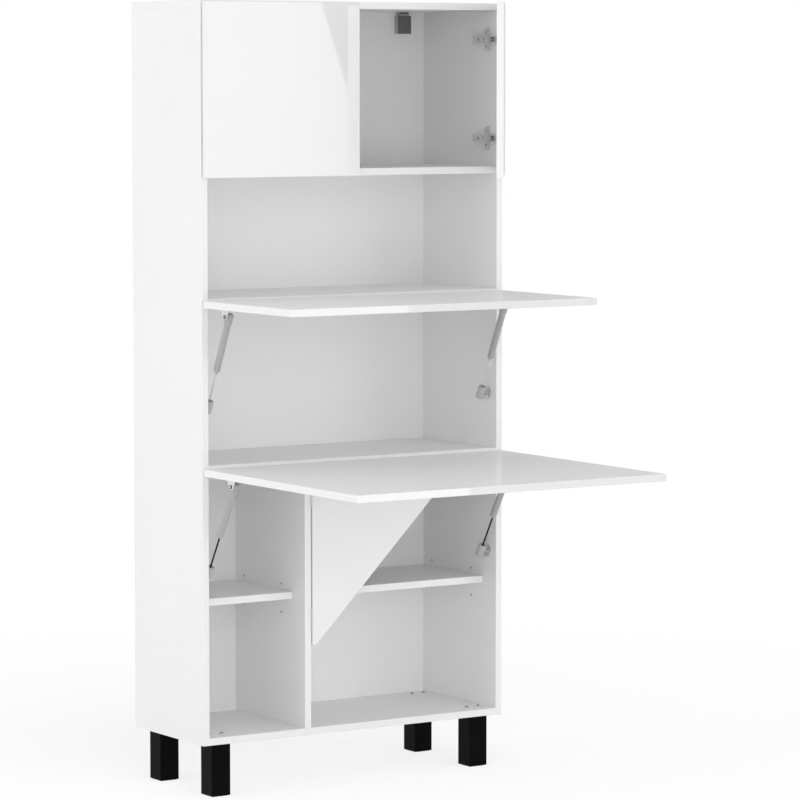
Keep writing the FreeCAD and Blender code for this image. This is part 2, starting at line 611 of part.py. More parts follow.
def hingeArm(label, fromFace):
    # A pressed arm: an eye on the pin, a riser, a neck and a wider channel that lies on the plate
    neck = f"-({fromFace} + size.arm_drop)"
    top = f"{neck} + size.arm_thickness / 2"
    start = f"(size.front_gap + {fromFace}) + size.arm_start"
    body = doc.addObject("PartDesign::Body", label)
    neckOutline = outline(body, "YZ_Plane", [
        ("size.riser_back - size.riser_thickness", f"{top} - size.arm_thickness"),
        (f"{start} + size.arm_slope", f"{top} - size.arm_thickness"),
        (f"{start} + size.arm_slope", top),
        ("size.riser_back", top),
        ("size.riser_back", "0"),
        ("size.riser_back - size.riser_thickness", "0"),
    ])
    pad(body, neckOutline, "size.arm_width", "Symmetric")
    channelOutline = outline(body, "YZ_Plane", [
        (start, f"{top} - size.arm_thickness"),
        (f"{start} + size.arm_slope", f"{top} - size.arm_channel"),
        (f"{start} + size.arm_length - size.arm_slope", f"{top} - size.arm_channel"),
        (f"{start} + size.arm_length", f"{top} - size.arm_thickness"),
        (f"{start} + size.arm_length", top),
        (start, top),
    ])
    pad(body, channelOutline, "size.channel_width", "Symmetric")
    eyeCircle = circle(body, "YZ_Plane", label + "_eye", "size.eye_diameter / 2")
    pad(body, eyeCircle, "size.arm_width", "Symmetric")
    doc.recompute()
    bore = body.newObject("PartDesign::Pocket", label + "_bore")
    bore.Profile = circle(body, "YZ_Plane", label + "_hole", "size.hinge_pin_diameter / 2 + size.fit")
    bore.SideType = "Symmetric"
    bore.setExpression("Length", "size.arm_width + 2")
    return body


def hingePlate(label, fromFace, rise):
    # A cross-shaped mounting plate: two screwed wings and a rail under the arm
    plane = f"(size.front_gap + {fromFace})"
    railUnder = f"{fromFace} + size.arm_drop - size.arm_thickness / 2"
    wings = roundedPlate(
        label + "_wings", ("size.plate_span", "size.plate_wing", "size.plate_thickness"),
        ("-size.plate_span / 2", f"{plane} + size.plate_setback - size.plate_wing / 2",
         f"-{rise} - size.plate_thickness"), size.plate_corner)
    rail = box(label + "_rail", ("size.rail_width", "size.rail_length", f"{railUnder} - {rise}"),
               ("-size.rail_width / 2", f"{plane} + size.arm_start + size.arm_slope", f"-({railUnder})"))
    screws = []
    for sign in ("-", ""):
        screw = (f"{sign}size.plate_screw_spacing / 2", f"{plane} + size.plate_setback",
                 f"-{rise} - size.plate_thickness")
        screws.append(cylinder(label + "_screw", "up", screw, "size.plate_screw", "size.plate_thickness"))
    return cut(label, fused(label + "_whole", [wings, rail]), screws)


frontCup = hingeCup("front_hinge_cup", "size.axis_from_edge", "size.axis_from_face")
deskCup = hingeCup("desk_hinge_cup", "size.desk_axis_from_edge", "size.desk_axis_from_face")
frontArm = hingeArm("front_hinge_arm", "size.axis_from_face")
deskArm = hingeArm("desk_hinge_arm", "size.desk_axis_from_face")
doorPlate = hingePlate("door_hinge_plate", "size.axis_from_face", "at.door_axis_rise")
upperPlate = hingePlate("upper_hinge_plate", "size.axis_from_face", "at.upper_axis_rise")
deskPlate = hingePlate("desk_hinge_plate", "size.desk_axis_from_face", "at.desk_axis_rise")
hingePin = cylinder("hinge_pin", "right", ("-size.lug_spacing / 2 - size.lug_thickness", "0", "0"),
                    "size.hinge_pin_diameter", "size.lug_spacing + 2 * size.lug_thickness")

# Places of the hinges. A door hinge stands upright, and its cup is also turned shut.
shut = Rotation(Vector(1, 0, 0), 90)
doorHinges = {}
doorCups = {}
upperHinges = []
deskHinges = []
for side, sign in sides:
    doorHinges[side] = []
    doorCups[side] = []
    for z in ("at.door_hinge_low", "at.door_hinge_high"):
        doorHinges[side].append((turns[side], f"{sign}at.door_axis_x", "at.door_axis_y", z))
        doorCups[side].append((turns[side] * shut, f"{sign}at.door_axis_x", "at.door_axis_y", z))
    upperHinges.append((Rotation(), f"{sign}at.leaf_hinge_x", "at.upper_axis_y", "at.upper_axis_z"))
    deskHinges.append((Rotation(), f"{sign}at.leaf_hinge_x", "at.desk_axis_y", "at.desk_axis_z"))
hingeNodes = (
    ("door_hinge_plates", doorPlate, doorHinges["left"] + doorHinges["right"]),
    ("door_hinge_arms", frontArm, doorHinges["left"] + doorHinges["right"]),
    ("upper_leaf_hinge_plates", upperPlate, upperHinges),
    ("upper_leaf_hinge_arms", frontArm, upperHinges),
    ("upper_leaf_hinge_cups", frontCup, upperHinges),
    ("upper_leaf_hinge_pins", hingePin, upperHinges),
    ("desk_leaf_hinge_plates", deskPlate, deskHinges),
    ("desk_leaf_hinge_arms", deskArm, deskHinges),
    ("desk_leaf_hinge_cups", deskCup, deskHinges),
    ("desk_leaf_hinge_pins", hingePin, deskHinges),
)
for label, piece, places in hingeNodes:
    keep(copies(label, piece, places), label)


def hang(item, label, side):
    # Keeps a piece of a door. The right door is drawn shut and stands open by door_angle.
    if side == "left":
        return keep(item, label)
    item.Placement = Placement(Vector(), Rotation(Vector(0, 0, 1), size.door_angle))
    item.setExpression("Placement.Rotation.Angle", "size.door_angle * 1 deg")
    bind(item, x="at.door_axis_x * (1 - cos(size.door_angle)) + at.door_axis_y * sin(size.door_angle)")
    y = "at.door_axis_y * (1 - cos(size.door_angle)) - at.door_axis_x * sin(size.door_angle)"
    return keep(item, label, y)


# Doors with their hinge cups and pins
for side, sign in sides:
    label = f"{side}_door"
    corner = "-at.door_outer_x" if side == "left" else "at.door_outer_x - at.door_width"
    slab = board(label, ("at.door_width", "size.front_board", "at.door_height"),
                 (corner, "-size.front_gap - size.front_board", "at.door_bottom"))
    for z in ("at.door_hinge_low", "at.door_hinge_high"):
        mouth = (f"{sign}(at.door_outer_x - at.cup_from_edge)", "-size.front_gap", z)
        hole(label, "front", mouth, "size.cup_diameter", "size.cup_bore_depth")
    hang(group(label, [cut(label + "_shut", slab, holes[label])]), label, side)
    hang(copies(label + "_hinge_cups", frontCup, doorCups[side]), label + "_hinge_cups", side)
    hang(copies(label + "_hinge_pins", hingePin, doorHinges[side]), label + "_hinge_pins", side)

# Leaves, level
for name in ("upper", "desk"):
    label = f"{name}_leaf"
    depth = f"at.{name}_leaf_depth"
    back = f"at.{name}_leaf_back"
    under = f"at.{name}_leaf_under"
    corner = ("-at.leaf_width / 2", f"{back} - {depth}", under)
    slab = board(label, ("at.leaf_width", depth, "size.front_board"), corner)
    for side, sign in sides:
        mouth = (f"{sign}at.leaf_hinge_x", f"{back} - at.cup_from_edge", under)
        hole(label, "up", mouth, "size.cup_diameter", "size.cup_bore_depth")
    keep(cut(label, slab, holes[label]), label)

# Posts on the side panels for the lower ends of the struts, drawn along +Z from the panel
post = turned("strut_post", [
    ("0", "0"),
    ("size.post_flange_diameter / 2", "0"),
    ("size.post_flange_diameter / 2", "size.post_flange_thickness / 2"),
    ("size.post_flange_diameter / 2 - size.post_flange_thickness", "size.post_flange_thickness"),
    ("size.post_diameter / 2", "size.post_flange_thickness"),
    ("size.post_diameter / 2", "at.post_length"),
    ("0", "at.post_length"),
])
postPlaces = []
for side, sign in sides:
    for z in ("at.upper_post_z", "at.desk_post_z"):
        postPlaces.append((turns[opposite[side]], f"{sign}at.inner_x", "size.post_setback", z))
keep(copies("strut_posts", post, postPlaces), "strut_posts")

# Bracket of a strut, drawn round its stud: the leaf is above and the side panel is at +X
ear = doc.addObject("PartDesign::Body", "strut_bracket_ear")
earOutline = outline(ear, "YZ_Plane", [
    ("-size.ear_nose / 2", "-size.ear_nose / 2"),
    ("size.ear_nose / 2", "-size.ear_nose / 2"),
    ("size.ear_length / 2", "size.strut_drop"),
    ("-size.ear_length / 2", "size.strut_drop"),
])
pad(ear, earOutline, "size.ear_thickness")
bind(ear, x="at.ear_inner")
foot = box("strut_bracket_foot", ("size.foot_width", "size.ear_length", "size.foot_thickness"),
           ("at.ear_inner + size.ear_thickness - size.foot_width", "-size.ear_length / 2",
            "size.strut_drop - size.foot_thickness"))
stud = cylinder("strut_bracket_stud", "right", ("at.stud_start", "0", "0"), "size.post_diameter",
                "at.stud_length")
bracket = fused("strut_bracket", [ear, foot, stud])


def roundedEnd(radius, tip, inward):
    # Corners of the closed end of a cap; inward is the sign of the way into the cap
    return [
        ("0", tip),
        (f"{radius} - size.cap_round", tip),
        (f"{radius} - size.cap_round * 0.3", f"{tip} {inward} size.cap_round * 0.3"),
        (radius, f"{tip} {inward} size.cap_round"),
    ]


# Cylinder of a strut, hanging down from the end cap that holds its stud at the origin
tube = turned("strut_tube", [
    ("0", "-size.tube_start"),
    ("size.tube_diameter / 2 - size.tube_wall", "-size.tube_start"),
    ("size.tube_diameter / 2", "-size.tube_start - size.tube_wall"),
    ("size.tube_diameter / 2", "size.tube_wall - size.tube_end"),
    ("size.tube_diameter / 2 - size.tube_wall", "-size.tube_end"),
    ("size.rod_diameter / 2 + size.fit", "-size.tube_end"),
    ("size.rod_diameter / 2 + size.fit", "size.gland_length - size.tube_end"),
    ("size.tube_diameter / 2 - size.tube_wall", "size.gland_length - size.tube_end"),
    ("size.tube_diameter / 2 - size.tube_wall", "-size.tube_start - size.tube_wall * 2"),
    ("0", "-size.tube_start - size.tube_wall * 2"),
])
eye = turned("strut_eye", roundedEnd("size.eye_outer / 2", "size.eye_above", "-") + [
    ("size.eye_outer / 2", "size.tube_wall - size.eye_below"),
    ("size.eye_outer / 2 - size.tube_wall", "-size.eye_below"),
    ("0", "-size.eye_below"),
])
eyeBore = cylinder("strut_eye_bore", "right", ("-size.eye_outer / 2", "0", "0"),
                   "size.post_diameter + 2 * size.fit", "size.eye_outer")
strutCylinder = cut("strut_cylinder", fused("strut_cylinder_whole", [tube, eye]), [eyeBore])


def strutRod(label, length):
    # Piston rod with its piston, on the axis of the cylinder
    rodEnd = f"size.socket_above - size.mouth_depth - size.socket_thread - {length}"
    piston = "size.tube_diameter / 2 - size.tube_wall - size.fit"
    return turned(label, [
        ("0", "-size.piston_start"),
        (piston, "-size.piston_start"),
        (piston, "-size.piston_start - size.piston_length"),
        ("size.rod_diameter / 2", "-size.piston_start - size.piston_length"),
        ("size.rod_diameter / 2", rodEnd),
        ("0", rodEnd),
    ])


def strutSocket(label, length):
    # End socket of the rod: a cap with a rounded foot beside the post and a hollow mouth round the rod
    radius = "size.socket_diameter / 2"
    rim = f"size.socket_above - {length}"
    return turned(label, roundedEnd(radius, f"-{length} - size.socket_below", "+") + [
        (radius, f"{rim} - size.tube_wall"),
        (f"{radius} - size.tube_wall", rim),
        ("size.socket_mouth / 2", rim),
        ("size.socket_mouth / 2", f"{rim} - size.mouth_depth"),
        ("size.rod_diameter / 2", f"{rim} - size.mouth_depth"),
        ("size.rod_diameter / 2", f"{rim} - size.mouth_depth - size.socket_thread"),
        ("0", f"{rim} - size.mouth_depth - size.socket_thread"),
    ])


for name in ("upper", "desk"):
    length = f"at.{name}_strut_length"
    pieces = {
        "cylinder": strutCylinder,
        "rod": strutRod(f"{name}_rod_turned", length),
        "socket": strutSocket(f"{name}_socket_whole", length),
    }
    bracketPlaces = []
    for side, sign in sides:
        pinPoint = (f"{sign}at.strut_x", f"at.{name}_pin_y", f"at.{name}_pin_z")
        for word, piece in pieces.items():
            label = f"{name}_{side}_strut_{word}"
            item = placed(label + "_leaning", piece, Rotation(Vector(1, 0, 0), 1), *pinPoint)
            item.setExpression("Placement.Rotation.Angle", f"at.{name}_strut_tilt * 1 deg")
            keep(group(label, [item]), label)
        bracketPlaces.append((halfTurn if side == "left" else Rotation(), *pinPoint))
    keep(copies(f"{name}_strut_brackets", bracket, bracketPlaces), f"{name}_strut_brackets")

# Triangular desk support, folded flat in the front opening of the right bay
support = doc.addObject("PartDesign::Body", "desk_support")
supportOutline = outline(support, "XZ_Plane", [
    ("0", "0"),
    ("at.support_reach", "0"),
    ("at.support_reach", "-size.support_nose"),
    ("size.support_toe", "-size.support_height"),
    ("0", "-size.support_height"),
])
supportPad = pad(support, supportOutline, "size.board", back=True)
doc.recompute()
supportEdges = [f"Edge{index + 1}" for index in range(len(supportPad.Shape.Edges))]
supportBevel = support.newObject("PartDesign::Chamfer", "desk_support_bevel")
supportBevel.Base = (supportPad, supportEdges)
supportBevel.setExpression("Size", "size.edge_break")
bind(support, x="at.support_edge_x", z="at.support_top")
keep(support, "desk_support")


# Butt hinges of the support, drawn with the pin on the Z axis and the boards behind it
def buttLeaf(label, sheetX, spans):
    # A sheet with its barrel, cut away over the spans where the other leaf has its knuckles
    low = "-size.butt_height / 2"
    sheetWidth = "size.butt_axis_front + size.butt_width - size.butt_leaf / 2"
    sheet = box(label + "_sheet", ("size.butt_leaf", sheetWidth, "size.butt_height"),
                (sheetX, "size.butt_leaf / 2", low))
    barrel = cylinder(label + "_barrel", "up", ("0", "0", low), "size.knuckle_diameter", "size.butt_height")
    bore = cylinder(label + "_bore", "up", ("0", "0", low), "size.butt_pin_diameter + 2 * size.fit",
                    "size.butt_height")
    room = "size.knuckle_diameter * 1.5 + size.knuckle_gap"
    notches = []
    for start, height in spans:
        notches.append(box(label + "_notch", ("size.knuckle_diameter * 2", room, height),
                           ("-size.knuckle_diameter", "-size.knuckle_diameter", start)))
    return cut(label, fused(label + "_whole", [sheet, barrel]), [fused(label + "_removed", notches + [bore])])


endKnuckle = "size.butt_height / 2 - at.butt_middle / 2 + size.knuckle_gap"
fixedButt = buttLeaf("fixed_butt_leaf", "-size.butt_gap / 2", [("-at.butt_middle / 2", "at.butt_middle")])
movingButt = buttLeaf("moving_butt_leaf", "size.butt_gap / 2 - size.butt_leaf", [
    ("-size.butt_height / 2", endKnuckle),
    ("at.butt_middle / 2 - size.knuckle_gap", endKnuckle),
])
buttPin = cylinder("butt_pin", "up", ("0", "0", "-size.butt_height / 2"), "size.butt_pin_diameter",
                   "size.butt_height")
buttPlaces = []
for z in ("at.butt_low", "at.butt_high"):
    buttPlaces.append((Rotation(), "at.support_axis_x", "at.support_axis_y", z))
keep(copies("support_fixed_hinge_leaves", fixedButt, buttPlaces), "support_fixed_hinge_leaves")
keep(copies("support_moving_hinge_leaves", movingButt, buttPlaces), "support_moving_hinge_leaves")
keep(copies("support_hinge_pins", buttPin, buttPlaces), "support_hinge_pins")

doc.recompute()
for item in doc.Objects:
    if "Invalid" in item.State or "Error" in item.State:
        raise RuntimeError(f"{item.Label} failed: {item.State}")
for item in nodes:
    if item.Shape.isNull() or not item.Shape.isValid():
        raise RuntimeError(f"{item.Label} has no valid shape")

os.makedirs("parts", exist_ok=True)
for item in nodes:
    solids = item.Shape.Solids
    piece = solids[0] if len(solids) == 1 else Part.makeCompound(solids)
    piece.exportStep(os.path.join("parts", item.Label + ".step"))
print(len(nodes), "nodes written")
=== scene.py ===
import bpy
import bmesh
import json
import math
from mathutils import Matrix, Vector


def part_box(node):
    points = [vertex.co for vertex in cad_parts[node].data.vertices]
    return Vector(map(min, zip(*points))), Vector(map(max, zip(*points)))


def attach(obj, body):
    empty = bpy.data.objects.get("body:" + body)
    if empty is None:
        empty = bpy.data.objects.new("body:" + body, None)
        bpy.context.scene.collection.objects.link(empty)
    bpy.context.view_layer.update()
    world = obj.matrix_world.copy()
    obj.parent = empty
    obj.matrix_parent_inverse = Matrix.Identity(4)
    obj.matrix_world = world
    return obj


# Tall white cabinet on four black legs: gloss doors and leaves, matt carcass, cup hinges and gas struts.
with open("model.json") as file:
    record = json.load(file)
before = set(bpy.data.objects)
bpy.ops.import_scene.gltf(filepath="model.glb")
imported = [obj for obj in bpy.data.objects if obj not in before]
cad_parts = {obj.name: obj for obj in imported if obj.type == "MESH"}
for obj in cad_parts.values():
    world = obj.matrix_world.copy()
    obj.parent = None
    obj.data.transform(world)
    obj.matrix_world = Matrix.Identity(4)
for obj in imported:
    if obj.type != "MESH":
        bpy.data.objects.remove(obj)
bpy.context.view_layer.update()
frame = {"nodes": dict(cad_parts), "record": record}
nodes = frame["nodes"]
record = frame["record"]
mm = 0.001
print("frame loaded:", len(nodes), "nodes")


def hexColour(text):
    # sRGB hex to linear RGBA
    linear = []
    for start in (0, 2, 4):
        share = int(text[start:start + 2], 16) / 255
        linear.append(share / 12.92 if share <= 0.04045 else ((share + 0.055) / 1.055) ** 2.4)
    return (*linear, 1.0)


def perMetre(sizeMm):
    # texture scale for a pattern of this size in millimetres
    return 1.0 / (sizeMm * mm)


def addNode(tree, kind, inputs=None, **settings):
    node = tree.nodes.new(kind)
    for name, value in settings.items():
        setattr(node, name, value)
    for socket, value in (inputs or {}).items():
        if isinstance(value, bpy.types.NodeSocket):
            tree.links.new(value, node.inputs[socket])
        else:
            node.inputs[socket].default_value = value
    return node


def addNoise(tree, place, sizeMm, detail):
    # noise with patches of about this size in millimetres
    noise = addNode(tree, "ShaderNodeTexNoise", {
        "Vector": place, "Scale": perMetre(sizeMm), "Detail": detail})
    return noise.outputs["Fac"]


def addBlend(tree, share, first, second):
    # a colour between two hex values
    blend = addNode(tree, "ShaderNodeMix", {
        "Factor": share, "A": hexColour(first), "B": hexColour(second)}, data_type="RGBA")
    return blend.outputs["Result"]


def addBand(tree, share, low, high):
    # a value between two limits
    band = addNode(tree, "ShaderNodeMapRange", {"Value": share, "To Min": low, "To Max": high})
    return band.outputs["Result"]


def addRelief(tree, height, strength, depth):
    # a bump of this depth in metres
    bump = addNode(tree, "ShaderNodeBump", {"Height": height, "Strength": strength, "Distance": depth})
    return bump.outputs["Normal"]


def startMaterial(name):
    # an empty tree with its output and the object's own coordinates
    material = bpy.data.materials.new(name)
    material.use_nodes = True
    tree = material.node_tree
    tree.nodes.clear()
    output = addNode(tree, "ShaderNodeOutputMaterial")
    place = addNode(tree, "ShaderNodeTexCoord").outputs["Object"]
    return material, tree, output, place


def finishMaterial(tree, output, surface):
    tree.links.new(surface.outputs[0], output.inputs["Surface"])


# Melamine-faced chipboard, pressed against a pearl-textured plate: matt, with a soft sheen at low angles
# and a tone that wanders a little over the board.
melamine = {
    "light": "ECECEC", "dark": "E8E8E8", "toneMm": 260, "toneDetail": 2,
    "pearlMm": 5,            # the real pearl is 0.8 mm, drawn coarser so that it shows
    "pearlDetail": 3, "pearlDepthMm": 0.02, "pearlStrength": 0.35,
    "roughLow": 0.42, "roughHigh": 0.52, "ior": 1.5, "specular": 0.25,
}


def makeMelamine():
    p = melamine
    material, tree, output, place = startMaterial("melamine_pressed_pearl")
    tone = addNoise(tree, place, p["toneMm"], p["toneDetail"])
    pearl = addNoise(tree, place, p["pearlMm"], p["pearlDetail"])
    finishMaterial(tree, output, addNode(tree, "ShaderNodeBsdfPrincipled", {
        "Base Color": addBlend(tree, tone, p["light"], p["dark"]),
        "Roughness": addBand(tree, pearl, p["roughLow"], p["roughHigh"]),
        "Normal": addRelief(tree, pearl, p["pearlStrength"], p["pearlDepthMm"] * mm),
        "IOR": p["ior"], "Specular IOR Level": p["specular"]}))
    return material


# High gloss acrylic lacquer on fibre board, sprayed and buffed: a weak, sharp mirror over white, with a
# faint orange peel. It mirrors about as much at a low angle as head on, which a high coat index at a low
# weight gives.
gloss = {
    "light": "EAEAEA", "dark": "E7E7E7", "toneMm": 300, "toneDetail": 1,
    "peelMm": 9, "peelDetail": 1, "peelDepthMm": 0.002, "peelStrength": 0.2,
    "rough": 0.3, "ior": 1.5, "specular": 0.0, "coat": 0.36, "coatRough": 0.02, "coatIor": 4.0,
}


def makeGloss():
    p = gloss
    material, tree, output, place = startMaterial("acrylic_lacquer_buffed")
    tone = addNoise(tree, place, p["toneMm"], p["toneDetail"])
    peel = addNoise(tree, place, p["peelMm"], p["peelDetail"])
    finishMaterial(tree, output, addNode(tree, "ShaderNodeBsdfPrincipled", {
        "Base Color": addBlend(tree, tone, p["light"], p["dark"]), "Roughness": p["rough"],
        "Normal": addRelief(tree, peel, p["peelStrength"], p["peelDepthMm"] * mm),
        "IOR": p["ior"], "Specular IOR Level": p["specular"],
        "Coat Weight": p["coat"], "Coat Roughness": p["coatRough"], "Coat IOR": p["coatIor"]}))
    return material


# Hardboard, lacquered white by roller on its face and edges and left raw behind: flat white inside, brown
# felted fibres with darker flecks on the side that stands against the wall.
hardboard = {
    "face": "ECECEC", "raw": "9A7350", "rawDark": "7C5A3C",
    "fibreMm": 7, "fibreDetail": 6, "fleckMm": 2.5, "fleckDetail": 2, "spreadLow": 0.15, "spreadHigh": 0.4,
    "wallward": 0.5,         # share of the normal along +Y from which a side counts as the back
    "faceRough": 0.5, "rawRough": 0.85, "faceDepthMm": 0.015, "rawDepthMm": 0.15, "fibreStrength": 0.5,
    "ior": 1.5,
}


def makeHardboard():
    p = hardboard
    material, tree, output, place = startMaterial("hardboard_rolled_lacquer")
    fibre = addNoise(tree, place, p["fibreMm"], p["fibreDetail"])
    fleck = addNoise(tree, place, p["fleckMm"], p["fleckDetail"])
    blend = addNode(tree, "ShaderNodeMath", {0: fibre, 1: fleck}, operation="MULTIPLY")
    spread = addNode(tree, "ShaderNodeMapRange", {
        "Value": blend.outputs[0], "From Min": p["spreadLow"], "From Max": p["spreadHigh"]})
    raw = addBlend(tree, spread.outputs["Result"], p["rawDark"], p["raw"])
    # only the side that looks to the wall (+Y) is raw
    turned = addNode(tree, "ShaderNodeVectorTransform", {
        "Vector": addNode(tree, "ShaderNodeNewGeometry").outputs["True Normal"]},
        vector_type="NORMAL", convert_from="WORLD", convert_to="OBJECT")
    split = addNode(tree, "ShaderNodeSeparateXYZ", {"Vector": turned.outputs["Vector"]})
    front = addNode(tree, "ShaderNodeMath", {
        0: split.outputs["Y"], 1: p["wallward"]}, operation="LESS_THAN").outputs[0]
    colour = addNode(tree, "ShaderNodeMix", {
        "Factor": front, "A": raw, "B": hexColour(p["face"])}, data_type="RGBA")
    depth = addBand(tree, front, p["rawDepthMm"] * mm, p["faceDepthMm"] * mm)
    finishMaterial(tree, output, addNode(tree, "ShaderNodeBsdfPrincipled", {
        "Base Color": colour.outputs["Result"],
        "Roughness": addBand(tree, front, p["rawRough"], p["faceRough"]),
        "Normal": addRelief(tree, fibre, p["fibreStrength"], depth), "IOR": p["ior"]}))
    return material


# Beech, sawn square, stained black and sprayed with matt lacquer: near black, with pores along the leg
# that catch a little light.
blackBeech = {
    "pore": "050505", "wood": "0C0C0C", "poreWidthMm": 2.2, "poreLengthMm": 45, "poreDetail": 4,
    "poreDepthMm": 0.12, "poreStrength": 0.4, "roughLow": 0.42, "roughHigh": 0.58,
    "ior": 1.5, "specular": 0.05,
}


def makeBlackBeech():
    p = blackBeech
    material, tree, output, place = startMaterial("beech_stained_black")
    stretch = addNode(tree, "ShaderNodeMapping", {"Vector": place, "Scale": (
        perMetre(p["poreWidthMm"]), perMetre(p["poreWidthMm"]), perMetre(p["poreLengthMm"]))})
    grain = addNode(tree, "ShaderNodeTexNoise", {
        "Vector": stretch.outputs["Vector"], "Scale": 1, "Detail": p["poreDetail"]}).outputs["Fac"]
    finishMaterial(tree, output, addNode(tree, "ShaderNodeBsdfPrincipled", {
        "Base Color": addBlend(tree, grain, p["pore"], p["wood"]),
        "Roughness": addBand(tree, grain, p["roughHigh"], p["roughLow"]),
        "Normal": addRelief(tree, grain, p["poreStrength"], p["poreDepthMm"] * mm),
        "IOR": p["ior"], "Specular IOR Level": p["specular"]}))
    return material


# Beech dowels, turned and pressed with flutes: pale pinkish wood with short dark rays.
beech = {
    "light": "D9B48A", "dark": "B98B5E", "grainMm": 3, "grainDetail": 5, "grainDepthMm": 0.1,
    "grainStrength": 0.3, "rough": 0.7, "ior": 1.5,
}


def makeBeech():
    p = beech
    material, tree, output, place = startMaterial("beech_turned")
    grain = addNoise(tree, place, p["grainMm"], p["grainDetail"])
    finishMaterial(tree, output, addNode(tree, "ShaderNodeBsdfPrincipled", {
        "Base Color": addBlend(tree, grain, p["dark"], p["light"]), "Roughness": p["rough"],
        "Normal": addRelief(tree, grain, p["grainStrength"], p["grainDepthMm"] * mm), "IOR": p["ior"]}))
    return material


# Wool felt, needled: soft dark fibres that scatter light at the rim.
felt = {
    "light": "3A3A3A", "dark": "1C1C1C", "fibreMm": 1.2, "fibreDetail": 6, "fibreDepthMm": 0.4,
    "fibreStrength": 0.8, "rough": 1.0, "sheen": 0.4,
}


def makeFelt():
    p = felt
    material, tree, output, place = startMaterial("felt_needled")
    fibre = addNoise(tree, place, p["fibreMm"], p["fibreDetail"])
    finishMaterial(tree, output, addNode(tree, "ShaderNodeBsdfPrincipled", {
        "Base Color": addBlend(tree, fibre, p["dark"], p["light"]), "Roughness": p["rough"],
        "Normal": addRelief(tree, fibre, p["fibreStrength"], p["fibreDepthMm"] * mm),
        "Sheen Weight": p["sheen"]}))
    return material


# Plated and ground metals, and dark steels that paint shade and a dark reflection: colour, roughness band
# and the size of the marks that the making left.
metals = {
    # pressed steel, nickel plated and tumbled: pale grey, soft mirror with worn patches
    "nickel_steel": {"name": "steel_pressed_nickel_plated", "light": "E9E9E8", "dark": "D9D9D8",
                     "markMm": 3, "roughLow": 0.25, "roughHigh": 0.4, "depthMm": 0.02},
    # turned steel, zinc plated and passivated: cool grey with a cloudy spangle
    "zinc_steel": {"name": "steel_turned_zinc_plated", "light": "C6CACE", "dark": "A4A9AF",
                   "markMm": 2, "roughLow": 0.28, "roughHigh": 0.45, "depthMm": 0.02},
    # bare pressed steel, dull and almost black: painted shade in the cross recesses of the screws and in the
    # ring round each strut pin, and the dark plugs of the bolt caps
    "dark_steel_and_recess_shade": {"name": "steel_dark_and_recess_shade", "light": "3C3B3A", "dark": "262625",
               "markMm": 2, "roughLow": 0.55, "roughHigh": 0.7, "depthMm": 0.02},
    # hinge levers, pressed steel in an even dull grey between the bright plate and the cup: painted shade in
    # the neck of the hinge
    "lever": {"name": "steel_lever_painted_shade", "light": "929291", "dark": "7E7E7D",
              "markMm": 3, "roughLow": 0.4, "roughHigh": 0.55, "depthMm": 0.01},
    # piston rod steel, ground and hard chromed, painted black with a tight satin shine: a painted dark
    # reflection on the rods of the desk struts
    "rod_painted_dark_reflection": {"name": "steel_rod_painted_dark_reflection", "light": "3A3A3B", "dark": "2C2C2D",
                     "markMm": 6, "roughLow": 0.18, "roughHigh": 0.28, "depthMm": 0.003},
    # piston rod steel, ground and hard chromed: almost a mirror, with hardly any grinding marks
    "chrome_rod": {"name": "steel_ground_hard_chromed", "light": "EDEEF0", "dark": "DFE1E4",
                   "markMm": 6, "roughLow": 0.12, "roughHigh": 0.2, "depthMm": 0.003},
}
metalMarks = {"detail": 4, "strength": 0.3}


def makeMetal(p):
    material, tree, output, place = startMaterial(p["name"])
    marks = addNoise(tree, place, p["markMm"], metalMarks["detail"])
    finishMaterial(tree, output, addNode(tree, "ShaderNodeBsdfPrincipled", {
        "Base Color": addBlend(tree, marks, p["dark"], p["light"]), "Metallic": 1.0,
        "Roughness": addBand(tree, marks, p["roughHigh"], p["roughLow"]),
        "Normal": addRelief(tree, marks, metalMarks["strength"], p["depthMm"] * mm)}))
    return material


# Painted and moulded greys: a fine grain left by the powder or by the mould.
greys = {
    # steel tube, powder coated light grey: even and satin, with a fine orange peel
    "grey_steel": {"name": "steel_powder_coated", "light": "A9A9AA", "dark": "9F9FA0",
                   "grainMm": 3, "roughLow": 0.3, "roughHigh": 0.42, "depthMm": 0.03, "ior": 1.5},
    # glass-filled nylon, moulded with a spark-eroded skin: dull, slightly mottled
    "grey_plastic": {"name": "nylon_moulded_grey", "light": "B6B6B7", "dark": "ACACAD",
                     "grainMm": 2.5, "roughLow": 0.45, "roughHigh": 0.6, "depthMm": 0.05, "ior": 1.53},
    # the same nylon, moulded in anthracite for the anchor covers, dull and dark; also painted shade in the
    # empty shelf pin holes and over the lugs of the anchors
    "anthracite_plastic": {"name": "nylon_anthracite_and_painted_shade", "light": "6C6C6D", "dark": "5E5E5F",
                           "grainMm": 2.5, "roughLow": 0.45, "roughHigh": 0.6, "depthMm": 0.05, "ior": 1.53},
    # polypropylene, moulded pale grey: the caps over the leg bolts, with a waxy sheen and a fine grain
    "pale_plastic": {"name": "polypropylene_moulded_pale_grey", "light": "CCCCCC", "dark": "C4C4C4",
                     "grainMm": 2.5, "roughLow": 0.4, "roughHigh": 0.5, "depthMm": 0.03, "ior": 1.49},
    # nitrile rubber, moulded: the wiper round the rod, matt and black
    "rubber": {"name": "nitrile_rubber_moulded", "light": "2A2A2A", "dark": "1C1C1C",
               "grainMm": 1.5, "roughLow": 0.6, "roughHigh": 0.75, "depthMm": 0.03, "ior": 1.52},
}
greyGrain = {"detail": 4, "strength": 0.4}


def makeGrey(p):
    material, tree, output, place = startMaterial(p["name"])
    grain = addNoise(tree, place, p["grainMm"], greyGrain["detail"])
    finishMaterial(tree, output, addNode(tree, "ShaderNodeBsdfPrincipled", {
        "Base Color": addBlend(tree, grain, p["dark"], p["light"]),
        "Roughness": addBand(tree, grain, p["roughLow"], p["roughHigh"]),
        "Normal": addRelief(tree, grain, greyGrain["strength"], p["depthMm"] * mm), "IOR": p["ior"]}))
    return material


